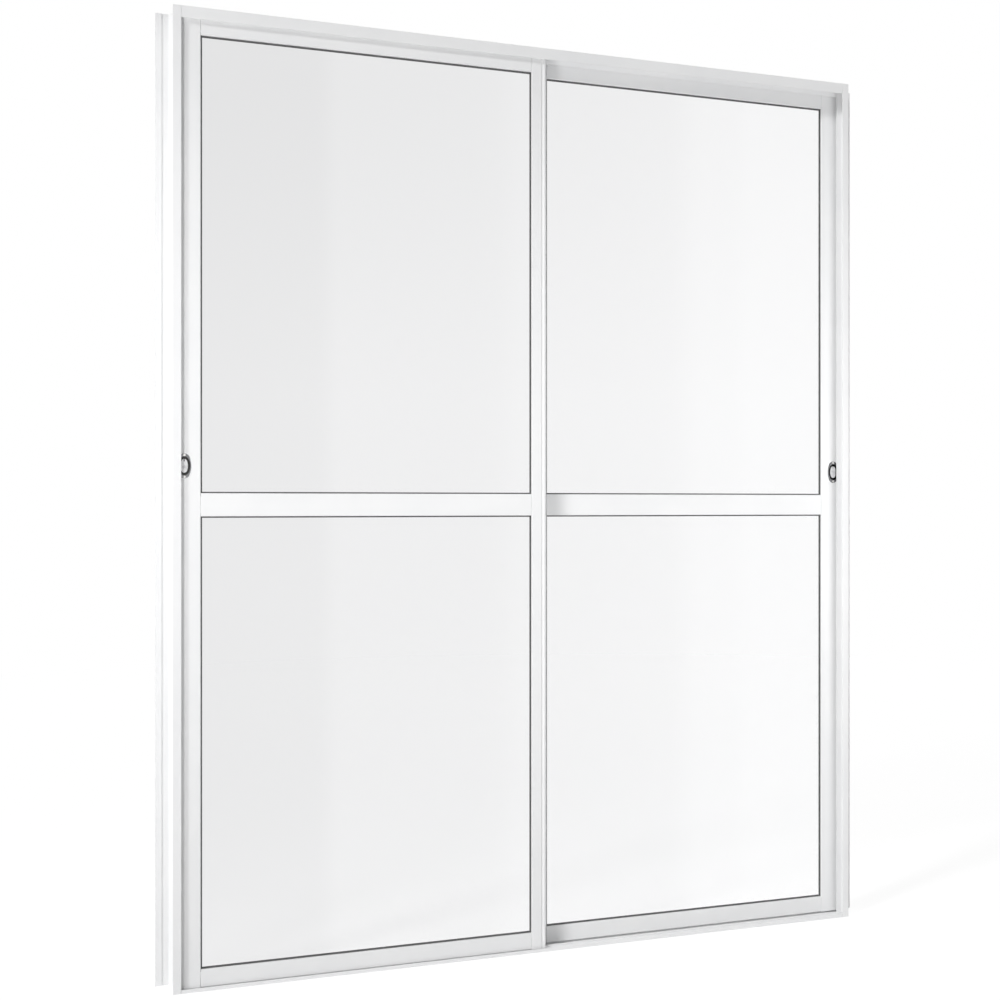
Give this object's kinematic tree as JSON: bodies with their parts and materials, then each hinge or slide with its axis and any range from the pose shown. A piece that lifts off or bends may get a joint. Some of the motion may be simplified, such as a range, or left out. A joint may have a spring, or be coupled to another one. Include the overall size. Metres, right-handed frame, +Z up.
{
  "type": "balcony door",
  "caption": "Sliding balcony door: a slim frame with twin tracks holds glazed leaves with mid rails, oval cup latches at the jambs and hooked meeting stiles.",
  "frame": {"origin": "middle of the sill's underside, at the middle of the frame's depth", "axes": "+X to the right along the width as seen from the room, +Z up, -Y towards the room"},
  "size_m": [1.674, 0.0668, 2.1],
  "materials": {
    "white_coat": "white powder coat on extruded aluminium",
    "clear_glass": "clear float glass",
    "dark_gasket": "matt black glazing gasket",
    "grey_nylon": "moulded nylon",
    "bright_metal": "polished plated casting",
    "satin_metal": "satin plated thumb slide"
  },
  "bodies": {
    "frame": {"left_jamb": "white_coat", "right_jamb": "white_coat", "head": "white_coat", "sill": "white_coat"},
    "front_leaf": {"front_jamb_stile": "white_coat", "front_meeting_stile": "white_coat", "front_interlock": "white_coat", "front_top_rail": "white_coat", "front_mid_rail": "white_coat", "front_bottom_rail": "white_coat", "front_upper_glass": "clear_glass", "front_lower_glass": "clear_glass", "front_upper_gasket": "dark_gasket", "front_lower_gasket": "dark_gasket", "front_roller_housings": "grey_nylon", "front_rollers": "grey_nylon", "front_top_guides": "grey_nylon", "front_latch_case": "bright_metal"},
    "front_latch": {"front_latch_slide": "satin_metal"},
    "rear_leaf": {"rear_jamb_stile": "white_coat", "rear_meeting_stile": "white_coat", "rear_interlock": "white_coat", "rear_top_rail": "white_coat", "rear_mid_rail": "white_coat", "rear_bottom_rail": "white_coat", "rear_upper_glass": "clear_glass", "rear_lower_glass": "clear_glass", "rear_upper_gasket": "dark_gasket", "rear_lower_gasket": "dark_gasket", "rear_roller_housings": "grey_nylon", "rear_rollers": "grey_nylon", "rear_top_guides": "grey_nylon", "rear_latch_case": "bright_metal"},
    "rear_latch": {"rear_latch_slide": "satin_metal"}
  },
  "joints": [
    {"name": "front_leaf_travel", "type": "slide", "parent": "frame", "child": "front_leaf", "axis": [1, 0, 0], "range_m": [0, 0.76]},
    {"name": "front_latch_throw", "type": "slide", "parent": "front_leaf", "child": "front_latch", "axis": [0, 0, -1], "range_m": [0, 0.004]},
    {"name": "rear_leaf_travel", "type": "slide", "parent": "frame", "child": "rear_leaf", "axis": [-1, 0, 0], "range_m": [0, 0.76]},
    {"name": "rear_latch_throw", "type": "slide", "parent": "rear_leaf", "child": "rear_latch", "axis": [0, 0, -1], "range_m": [0, 0.004]}
  ]
}
